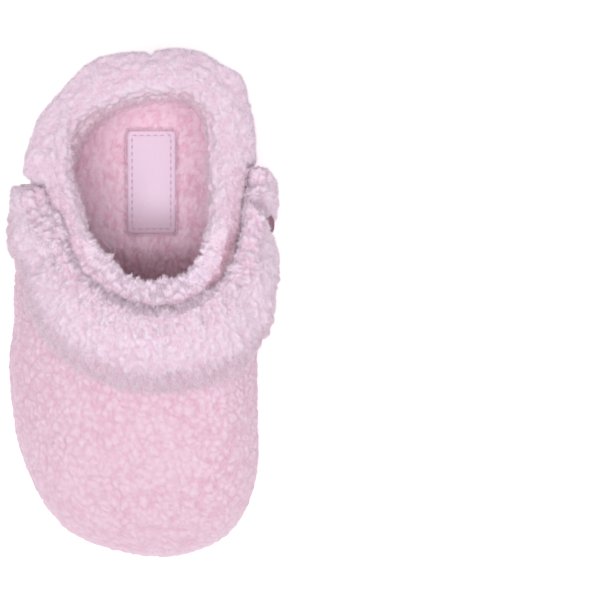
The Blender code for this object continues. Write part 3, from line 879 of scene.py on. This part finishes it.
def add_cuff():
    skin = Skin(*CUFF_ENDS, cuff_keys, 8, 0.45, length=CUFF_U_TO_MM)
    fingers = 0.5 * flow_height(skin, 2.8, 1.8, 31, 0.9) + 0.5 * fleece_height(skin.points, 2.5, 32, 0.8)
    field = 0.6 * flow_height(skin, 2.7, 1.6, 36, 0.8) + 0.4 * fleece_height(skin.points, 2.4, 37, 0.8)
    lying = rise(skin.s, 1.0, 6.0)
    skin.raised(2.2 + 0.9 * (1 - lying), fingers * (1 - lying) + field * lying, level=0.6)
    # Painted shade: a darker band low on the cuff, whose face turns down there, and a darker inner face by
    # the rim.
    lowest = np.array([wing_edges(u)[1] for u in skin.u])[:, None]
    inside = smooth_step((CUFF[0] + 0.9 - skin.n) / 1.0) * rise(skin.s, -2.8, 2.0) * (skin.s < 8.0)
    skin.painted_shade = np.maximum(0.75 * smooth_step((skin.s - lowest + 11.5) / 7.0), 0.3 * inside)
    skin.shade = skin.shade * (1 - 0.5 * inside)
    first, last = LATERAL_WING_END + BACKING_INSET, MEDIAL_WING_END - BACKING_INSET
    backing = Skin(first, last, backing_keys, 4, 0.4, length=CUFF_U_TO_MM)
    backing.raised(0.16, knit_height(backing), level=0.5)
    sides = (
        ("lateral", (-1.0, CUFF_LOWEST), LATERAL_HINGE, -1.0),
        ("medial", (CUFF_LOWEST, 2.0), MEDIAL_HINGE, 1.0),
    )
    for whole, lines, knit_lines in zip(sides, halves_of(skin), halves_of(backing)):
        side, u_range, hinge, away = whole
        moving = {"body": f"{side}_wing", "hinge": hinge_span(hinge, away)}
        nodes = "front_cuff", f"wing_{side}"
        add_piece(f"cuff_fleece_{side}", [skin.part(lines)], CUFF_FLEECE, "cuff_fleece", *nodes, **moving)
        # By the lower edge the fibres are darker, painted shade.
        for part, count, fibre in (("fibres", 22000, CUFF_FIBRE), ("edge_fibres", 9000, SHADED_CUFF_EDGE_FIBRE)):
            hairs = [cuff_hairs(skin, count, u_range, part == "edge_fibres")]
            add_piece(f"cuff_{part}_{side}", hairs, fibre, "cuff_fleece", smooth=False, **moving)
        nodes = "front_cuff_facing", f"wing_facing_{side}"
        knit = [backing.part(knit_lines)]
        add_piece(f"cuff_backing_{side}", knit, KNIT, "backing_knit", *nodes, **moving)


# ---- the rim of the opening

RING_U_TO_MM = 190.0
RING_TOP = -4.7


def ring_keys(u):
    """The roll round the front of the opening."""
    left, right = bell(u, 0.32, 0.07), bell(u, 0.69, 0.06)
    inner, outer, top = LINING[0] + float(thinned(u)), SHELL[0] + 2.9 + 2.2 * left, RING_TOP
    flare = 1.2 + 1.0 * right
    over = furry(
        (2.2, inner + 1.2), (0.4, inner - 0.2), (top + 1.5, inner + 0.1), (top + 0.5, inner + 1.0),
        (top, inner + 2.6), (top + 0.2, outer - 1.5), (top + 1.4, outer - 0.2), (-2.0, outer),
        (-1.3 - 0.5 * right, outer + 0.4 * flare), (-0.8 - 0.5 * right, outer + flare),
        (-0.1, outer + 0.8 * flare),
    )
    under = bare((-0.1, outer - 1.2), (-0.2, outer - 1.5), (-0.3, outer - 1.8), (-0.4, outer - 2.1))
    return over + under + bare((-0.4, outer - 2.4), (-0.4, inner + 2.0), (-0.4, inner + 1.2))


def heel_collar_keys(u):
    """The roll over the heel part's top edge. Under the wings it keeps only a short lip outside."""
    from_wing = u * COUNT - LATERAL_WING_END * COUNT if u < 0.5 else MEDIAL_WING_END * COUNT - u * COUNT
    covered = rise(from_wing, -0.3, 0.26)
    notch = bell(min(u, 1 - u) * U_TO_MM, 0.0, 1.1)
    fuller = 1.2 * rise(u, 0.08, 0.05) + 1.3 * rise(u, 0.135, 0.03)
    fuller = fuller * (u < 0.5) + 0.8 * bell(u, 0.045, 0.03)
    fuller += 1.9 * bell(u, 0.905, 0.016)
    inner, outer = LINING[0] + float(thinned(u)), SHELL[1] + 0.35
    leg = outer + COLLAR_THICKNESS - 0.4 - (COLLAR_THICKNESS - 1.9) * covered - 1.3 * notch
    leg += fuller * (1 - covered)
    brim = 0.8 * covered
    low, top = COLLAR_REACH - (COLLAR_REACH - 3.2) * covered, -COLLAR_HEIGHT
    nearly_low = 0.5 + 0.8 * (low - 0.5)
    over = furry(
        (2.2, inner + 1.2), (0.2, inner - 0.2), (-1.7, inner + 0.4), (top + 0.9, inner + 2.0),
        (top, inner + 4.4), (top + 0.5, outer - 0.6 + brim), (-1.8, leg - 0.4 + brim), (0.5, leg),
        (nearly_low, leg), (low - 0.1, leg - 0.4), (low, 0.5 * (leg + outer)),
    )
    return over + bare(
        (low - 0.1, outer), (nearly_low, outer), (0.5, outer), (-0.4, outer - 0.4), (-0.4, outer - 1.5),
        (-0.4, inner + 4.2), (-0.4, inner + 1.5),
    )


def ring_share(u):
    """0 where the rim is the heel collar and 1 where it is the front ring."""
    return smooth_step((np.minimum(u - LATERAL_SEAM, MEDIAL_SEAM - u) * 200.0 + 1.0) / 8.0)


def rim_keys(u):
    ring, collar = np.array(ring_keys(u), float), np.array(heel_collar_keys(u), float)
    keys = collar + (ring - collar) * float(ring_share(u))
    keys[:, 2] = collar[:, 2]
    return keys


def by_cuff(u, s, n):
    """The weight of places in the groove between the rim and the cuff."""
    return rise(n, -1.4, 1.0) * (s > -4.6) * (s < 0.5)


def in_slit(u, s, n):
    """The weight of places in the slit between the ring and the inner wing."""
    fading = rise(u, 0.58, 0.05) * smooth_step((0.77 - u) / 0.04)
    return fading * rise(n, -0.5, 0.8) * rise(s, -4.0, 1.5) * (s < 0.5)


def mostly_outside(u, s, n):
    """The weight of places on the heel collar, with few fibres on its inner face."""
    return 1 - 0.85 * (n < -5.0)


def shaped_rim():
    """The heel collar and the front ring as one skin that closes at the back, raised into pile."""
    skin = Skin(0.0, 1.0, rim_keys, 11, 0.42, length=CUFF_U_TO_MM)
    skin.normals[0] = skin.normals[-1] = unit(skin.normals[0] + skin.normals[-1])
    share = ring_share(skin.u)[:, None]
    plump = value_noise(skin.points, 11.0, 77) * 0.45 * (1 - share)
    skin.points = skin.points + skin.normals * (plump * skin.mask)[..., None]
    soft = 0.5 * fleece_height(skin.points, 3.8, 61, 0.9) + 0.5 * fleece_height(skin.points, 2.3, 63, 0.7)
    streaks = flow_height(skin, 3.4, 2.2, 52, 0.7, RING_U_TO_MM)
    tufts = 0.5 * fleece_height(skin.points, 3.2, 51, 0.8) + 0.5 * streaks
    skin.raised(1.6 + 1.5 * share, soft * (1 - share) + tufts * share, level=0.6 - 0.05 * share)
    # Painted light and shade: the front ring paler, against the shade between its tufts, and the heel collar
    # darker.
    middle = 0.48 + 0.4 * share
    skin.shade = np.where(skin.mask > 0.05, middle + (skin.shade - middle) * 0.75, skin.shade)
    inside = LINING[0] + thinned(skin.u)[:, None]
    inner_face = rise(skin.s, -3.6, 3.0) * smooth_step((inside + 2.2 - skin.n) / 1.2)
    groove = share * rise(skin.s, -2.8, 1.6) * rise(skin.n, -1.6, 1.2)
    slit = rise(skin.u, 0.58, 0.03)[:, None]
    # Painted shade: a little over the heel collar's outside, more in the groove by the cuff and in the slit
    # by the inner wing, and on the rim's inner face.
    skin.painted_shade = 0.2 * (1 - share) * (1 - inner_face) + (0.4 + 0.2 * slit) * groove
    skin.shade = skin.shade * (1 - (0.6 + 0.4 * slit) * groove) * (1 - 0.7 * inner_face)
    return skin


def add_rim():
    """The heel collar, from seam to seam round the back, and the front ring between the same seams."""
    skin = shaped_rim()
    first, last = (int(np.argmin(abs(skin.u - seam))) for seam in (LATERAL_SEAM, MEDIAL_SEAM))
    ring = [skin.part(slice(first, last + 1))]
    add_piece("inner_collar_fleece", ring, CUFF_FLEECE, "lining_fleece", "inner_collar")
    collar = [skin.part(np.r_[last : len(skin.u) - 1, 0 : first + 1])]
    add_piece("heel_collar_fleece", collar, CUFF_FLEECE, "cuff_fleece", "heel_collar")
    point, normal, down, u, s = skin.planted(15000, u_range=(LATERAL_SEAM, MEDIAL_SEAM))
    inward = -unit(look_up(WALL_NORMALS, u, s))
    heading = unit(inward * 0.6 - down * 0.2 + normal * 0.35 + rng.normal(size=point.shape) * 0.35)
    hairs = [fibres(point, heading, fibre_lengths(len(point), 1.0, 0.4))]
    add_piece("inner_collar_fibres", hairs, LIT_RING_FIBRE, "lining_fleece", smooth=False)
    under_wings = (LATERAL_WING_END, MEDIAL_WING_END)
    # The slit's fibres are darker, painted shade.
    groove, slit = ("groove", 9000, by_cuff, LINING_FIBRE), ("slit", 2500, in_slit, SHADED_SLIT_FIBRE)
    for name, count, weight, fibre in (groove, slit):
        hairs = [fuzz_on(skin, count, 1.6, 0.6, weight, under_wings)]
        add_piece(f"rim_{name}_fibres", hairs, fibre, "cuff_fleece", smooth=False)
    spans = (0.0, LATERAL_SEAM), (MEDIAL_SEAM, 1.0)
    hairs = [fuzz_on(skin, 17000, 1.1, 1.1, mostly_outside, span) for span in spans]
    add_piece("heel_collar_fibres", hairs, CUFF_FIBRE, "cuff_fleece", smooth=False)


# ---- the closures and the tab


def pad_keys(low, high, facing_out):
    """A thin pad between two heights over the heel part, with its rough face outwards or inwards."""
    face, back = (furry, bare) if facing_out else (bare, furry)
    outside = face((5.0, high - 0.1), (5.3, high), (13.7, high), (14.0, high - 0.1))
    keys = outside + back((14.0, low), (5.0, low))
    return lambda u: keys


def add_closures():
    """The hook pads on the heel part and the loop pads inside the wings."""
    lateral, medial = ("lateral", LATERAL_HINGE, LATERAL_WING_END), ("medial", MEDIAL_HINGE, MEDIAL_WING_END)
    for side, hinge, end in (lateral, medial):
        first, last = sorted(hinge + share * (end - hinge) for share in (0.42, 0.88))
        for kind, low, high, count in (("hook", 0.35, 0.85, 260), ("loop", 1.2, 1.7, 900)):
            keys = pad_keys(low, high, kind == "hook")
            skin = Skin(first, last, keys, 4, 0.4, length=CUFF_U_TO_MM, passes=1)
            skin.raised(0.14, fleece_height(skin.points, 0.9, 81))
            point, normal, down, *_ = skin.planted(count)
            name = f"{kind}_pad_{side}"
            if kind == "hook":
                hooks = locks(point - normal * 0.1, normal, unit(normal + down), 0.42, 0.2)
                add_piece(name + "_tape", [skin.part(), hooks], HOOKS, "hook_tape", name)
                continue
            heading = unit(normal * 0.4 + rng.normal(size=point.shape))
            loops = locks(point, normal, heading, 0.8, 0.14, curl=0.9, flat=0.7)
            add_piece(name + "_tape", [skin.part(), loops], LOOPS, "loop_tape", name, body=f"{side}_wing")


def add_side_tab():
    """A folded tape with a rounded end, sewn to the inner side of the cuff."""
    middle, half = TAB_MIDDLE, 0.008
    top, sewn = float(cuff_reach(middle)) - 12.5, CUFF[1] - 2.4

    def keys(u):
        end = CUFF[1] + 0.7 - 0.7 * abs((u - middle) / half) ** 3
        outside = [(0, sewn), (0, end - 0.35), (0.25, end), (0.95, end), (1.2, end - 0.35), (1.2, sewn)]
        inside = [(0.7, sewn), (0.7, end - 0.7), (0.5, end - 0.7), (0.5, sewn)]
        return furry(*((top + down, n) for down, n in outside + inside))

    skin = Skin(middle - half, middle + half, keys, 6, 0.12, length=TAB_U_TO_MM)
    ribs = np.sin(skin.n * 9.0) * np.sin(skin.u[:, None] * TAB_U_TO_MM * 9.0)
    skin.raised(0.05, 0.5 + 0.5 * ribs, level=0.5)
    add_piece("side_tab_tape", [skin.part()], TWILL, "tape_twill", "side_tab", body="medial_wing")


# ---- the sole, the footbed and the label

BED_FIBRES = 12000
LABEL_FIBRES = 2200


def disc(outline, profile, height=None, amount=0.0):
    """A flat piece from rings of its outline, from the bottom's middle to the top's middle.

    The profile lists (inset, share of the way out, z) and, where pile grows, a mask.
    """
    points, masks = [], []
    for inset, share, z, *mask in profile:
        edge = outline(inset)
        ring = edge.mean(axis=0) + (edge - edge.mean(axis=0)) * share
        points.append(np.concatenate([ring, np.full((len(ring), 1), z)], axis=1))
        masks.append(np.full(len(ring), mask[0] if mask else 0.0))
    across = len(points[0])
    points, masks = np.concatenate(points), np.concatenate(masks)
    shades = np.full(len(points), 0.5)
    if height is not None:
        # A given pile height also becomes the shade: painted shade in its creases and painted light on its
        # tips.
        shades = np.where(masks > 0, height(points), shades)
        points[:, 2] += (shades - 0.45) * amount * masks
    middles = np.array([points[:across].mean(axis=0), points[-across:].mean(axis=0)])
    bottom, top, last = len(points), len(points) + 1, len(points) - across
    j = np.arange(across)
    k = (j + 1) % across
    under = np.stack([0 * j + bottom, k, j], axis=-1)
    over = np.stack([0 * j + top, last + j, last + k], axis=-1)
    quads, triangles = grid_quads(len(profile), across), np.concatenate([under, over])
    return np.concatenate([points, middles]), quads, triangles, np.append(shades, [0.5, 0.5])


def sole_edge(inset, count=300):
    u = np.arange(count) / count
    return girth_at(u) - (SOLE_EDGE_INSET + inset) * outward_at(u) + CENTRING[:2]


def label_edge(inset, corner=0.9, count=48):
    """Points round the label's rounded rectangle, drawn in by inset."""
    width, length = (side / 2 - inset for side in LABEL_SIZE)
    corner = max(corner - inset, 0.3)
    turns = 2 * math.pi * (np.arange(count) + 0.5) / count
    way = np.stack([np.cos(turns), np.sin(turns)], axis=1)
    corners = np.sign(way) * (np.array([width, length]) - corner) + corner * way
    path = np.concatenate([corners, corners[:1]])
    even = np.linspace(0, distances(path)[-1], 161)[:-1]
    return points_along(path, even) + np.array(LABEL_CENTRE) + CENTRING[:2]


def stitches(path, z, pitch, length, width):
    """Short threads that lie one after another along a closed, level path."""
    closed = np.concatenate([path, path[:1]])
    whole = distances(closed)[-1]
    count = int(round(whole / pitch))
    starts = np.arange(count) * whole / count
    spot, further = points_along(closed, starts), points_along(closed, (starts + 0.5) % whole)
    heading = np.concatenate([unit(further - spot), np.zeros((count, 1))], axis=1)
    roots = np.concatenate([spot, np.full((count, 1), z)], axis=1)
    return locks(roots, heading, heading, length, width, sides=8, tones=(0.5, 0.8))


def scattered(roots, upward, spread, lengths):
    """Fibres from these roots, shifted a little to the side, which stand up and lean at random."""
    roots = roots + rng.normal(size=roots.shape) * np.array([spread, spread, 0.0])
    heading = unit(np.array([0.0, 0.0, upward]) + rng.normal(size=roots.shape) * 0.8)
    return fibres(roots, heading, lengths[0] + lengths[1] * rng.random(len(roots)))


def bed_pile(points):
    return 0.7 * fleece_height(points, 2.1, 91, 0.5) + 0.3 * creased(points, 3.0, 91)


def add_footbed():
    side = [(5.6, 0.02, 7.1), (5.6, 0.5, 7.1), (5.6, 1.0, 7.1), (4.8, 1.0, 7.6), (4.3, 1.0, 9.9)]
    top = [
        (4.3, f, 10.2 + 0.2 * float(smooth_step((1 - f) * 6)), float(smooth_step((1 - f) * 25)))
        for f in np.linspace(1.0, 0.02, 78)
    ]
    bed = disc(sole_edge, side + top, bed_pile, 1.6)
    # Painted shadow: the footbed darkens towards the toe, in the shade under the front of the shoe.
    bed = (*bed, 1.9 * smooth_step((17.5 - bed[0][:, 1]) / 14.0))
    add_piece("footbed_fleece", [bed], LINING_FLEECE, "lining_fleece", "footbed")
    points = bed[0][bed[0][:, 2] > 9.8]
    heel, toe = points[points[:, 1] > 12.0], points[points[:, 1] < 14.0]
    # The toe half's fibres are the darker ones of painted shade.
    for name, chosen, fibre in (("heel", heel, LINING_FIBRE), ("toe", toe, SHADED_TOE_FIBRE)):
        roots = chosen[rng.integers(0, len(chosen), BED_FIBRES)]
        hairs = [scattered(roots, 1.0, 0.3, (0.4, 0.5))]
        add_piece(f"footbed_fibres_{name}", hairs, fibre, "lining_fleece", smooth=False)


def add_label():
    """The satin label with a sewn groove, the stitches in it, and the pile that leans over its edge."""
    rings = [(0.3, 0.02, 10.3), (0.3, 1.0, 10.3), (0.0, 1.0, 10.45), (0.0, 1.0, 10.7), (0.2, 1.0, 10.85)]
    rings += [(inset, 1.0, 10.9 - 0.05 * bell(inset, 1.2, 0.3)) for inset in np.arange(0.5, 2.4, 0.15)]
    rings += [(2.4, f, 10.9 + 0.1 * (1 - f)) for f in (0.9, 0.7, 0.5, 0.3, 0.1, 0.02)]
    cloth = disc(label_edge, rings)
    # Painted shadow: the label darkens towards its toe end, where the ring's shadow falls.
    cloth = (*cloth, smooth_step((28.0 - cloth[0][:, 1]) / 12.0))
    add_piece("label_cloth", [cloth], SATIN, "label_satin", "footbed_label")
    edge = label_edge(-0.35)
    spots = edge[rng.integers(0, len(edge), LABEL_FIBRES)]
    roots = np.append(spots, np.full((LABEL_FIBRES, 1), 10.75), axis=1)
    hairs = [scattered(roots, 0.7, 0.25, (0.5, 0.6))]
    add_piece("footbed_fibres_label", hairs, LINING_FIBRE, "lining_fleece", smooth=False)
    sewn = stitches(label_edge(1.2), 10.88, 1.7, 1.2, 0.34)
    add_piece("label_stitches", [sewn], THREAD, "sewing_thread", "label_thread")


def add_sole(nodes):
    """The sole's cloth with its raised rim, its seam and grip pads, and the layers of CAD shape."""
    rings = [
        (0.4, 0.02, 1.45), (0.4, 0.6, 1.45), (0.0, 1.0, 1.45), (-0.8, 1.0, 1.65), (-1.1, 1.0, 2.0),
        (-1.0, 1.0, 2.5), (-0.5, 1.0, 2.8), (0.2, 1.0, 3.3), (1.8, 1.0, 3.35), (2.6, 1.0, 2.85),
        (2.6, 0.6, 2.85), (2.6, 0.02, 2.85),
    ]
    add_piece("outsole_cloth", [disc(sole_edge, rings)], SUEDE, "sole_suede", "outsole")
    seam = stitches(sole_edge(-0.9), 3.0, 3.1, 2.5, 0.85)
    add_piece("sole_stitches", [seam], THREAD, "sewing_thread", "sole_seam_thread")
    add_grip_pad("forefoot", (-1.5, -33.0), (42.0, 38.0))
    add_grip_pad("heel", (0.5, 33.0), (32.0, 28.0))
    for name, material in (("midsole_foam", FOAM), ("heel_counter", FELT), ("back_seam_tape", TWILL)):
        nodes[name].material_slots[0].material = material


def add_grip_pad(name, centre, size, pitch=7.2, radius=2.1):
    """A thin silicone sheet under the sole, with smooth low domes on it in staggered rows."""
    half_x, half_y = size[0] / 2, size[1] / 2
    centre = np.array(centre) + CENTRING[:2]

    def oval(inset, middle=centre, x=half_x, y=half_y, count=72):
        turns = 2 * math.pi * np.arange(count) / count
        return middle + np.stack([(x - inset) * np.cos(turns), (y - inset) * np.sin(turns)], axis=1)

    sheet = [(0.25, 0.02, 0.6), (0.25, 1.0, 0.6), (0.0, 1.0, 0.75), (0.0, 1.0, 1.1), (0.3, 0.02, 1.1)]
    dome = [(1.6, 0.1, 0.0), (1.0, 1.0, 0.0), (0.55, 1.0, 0.06), (0.2, 1.0, 0.2)]
    dome += [(0.02, 1.0, 0.42), (0.0, 1.0, 0.8)]
    parts = [disc(oval, sheet)]
    row_pitch = pitch * math.sqrt(3) / 2
    rows = int(half_y // row_pitch)
    for row in range(-rows, rows + 1):
        for column in range(-4, 5):
            x, y = column * pitch + (pitch / 2 if row % 2 else 0.0), row * row_pitch
            if math.hypot(x / (half_x - radius - 0.5), y / (half_y - radius - 0.5)) > 1:
                continue
            spot = centre + np.array([x, y])
            parts.append(disc(lambda inset, spot=spot: oval(inset, spot, radius, radius, 24), dome))
    add_piece(f"grip_{name}", parts, SILICONE, "grip_silicone", f"grip_pad_{name}")


# ---- the studio, in metres

FLOOR_HALF, FLOOR_GLOW = 3.0, 0.35
FILL_STRENGTH, BACKDROP_STRENGTH = 0.34, 0.96
LAMP_PLACE, LAMP_TILT, LAMP_SIZE, LAMP_POWER = (0.0, -0.15, 1.0), 8.5, 0.7, 9.2
CAMERA_PLACE, LENS, SENSOR_WIDTH = (0.0377, 0.0013, 0.775), 185.2, 36.0
WHITE = (1.0, 1.0, 1.0, 1)


def linked(name, data, location=(0.0, 0.0, 0.0)):
    made = bpy.data.objects.new(name, data)
    made.location = location
    bpy.context.scene.collection.objects.link(made)
    return made


def add_floor():
    mesh = bpy.data.meshes.new("floor")
    corners = [(x * FLOOR_HALF, y * FLOOR_HALF, 0) for x, y in ((-1, -1), (1, -1), (1, 1), (-1, 1))]
    mesh.from_pydata(corners, [], [(0, 1, 2, 3)])
    material, _, shader = shader_of("floor_white")
    set_inputs(shader, Base_Color=WHITE, Roughness=1.0, Emission_Color=WHITE, Emission_Strength=FLOOR_GLOW)
    mesh.materials.append(material)
    linked("floor", mesh)


def add_world():
    """A white surrounding that lights the part less than it shows to the camera."""
    world = bpy.data.worlds.new("studio")
    world.use_nodes = True
    tree = world.node_tree
    fill, backdrop = tree.nodes["Background"], tree.nodes.new("ShaderNodeBackground")
    set_inputs(fill, Color=WHITE, Strength=FILL_STRENGTH)
    set_inputs(backdrop, Color=WHITE, Strength=BACKDROP_STRENGTH)
    seen = tree.nodes.new("ShaderNodeLightPath")
    mixed = tree.nodes.new("ShaderNodeMixShader")
    tree.links.new(seen.outputs["Is Camera Ray"], mixed.inputs[0])
    tree.links.new(fill.outputs[0], mixed.inputs[1])
    tree.links.new(backdrop.outputs[0], mixed.inputs[2])
    tree.links.new(mixed.outputs[0], tree.nodes["World Output"].inputs["Surface"])
    bpy.context.scene.world = world


def add_light_and_camera():
    lamp = bpy.data.lights.new("soft_box", "AREA")
    lamp.shape = "DISK"
    lamp.size = LAMP_SIZE
    lamp.energy = LAMP_POWER
    linked("soft_box", lamp, LAMP_PLACE).rotation_euler = (math.radians(LAMP_TILT), 0, 0)
    camera = bpy.data.cameras.new("camera")
    camera.sensor_width = SENSOR_WIDTH
    camera.lens = LENS
    bpy.context.scene.camera = linked("camera", camera, CAMERA_PLACE)
    bpy.context.scene.view_settings.view_transform = "Standard"


add_outer_fleece()
add_linings()
add_rim()
add_cuff()
add_closures()
add_side_tab()
add_footbed()
add_label()
add_sole(frame["nodes"])
add_floor()
add_world()
add_light_and_camera()
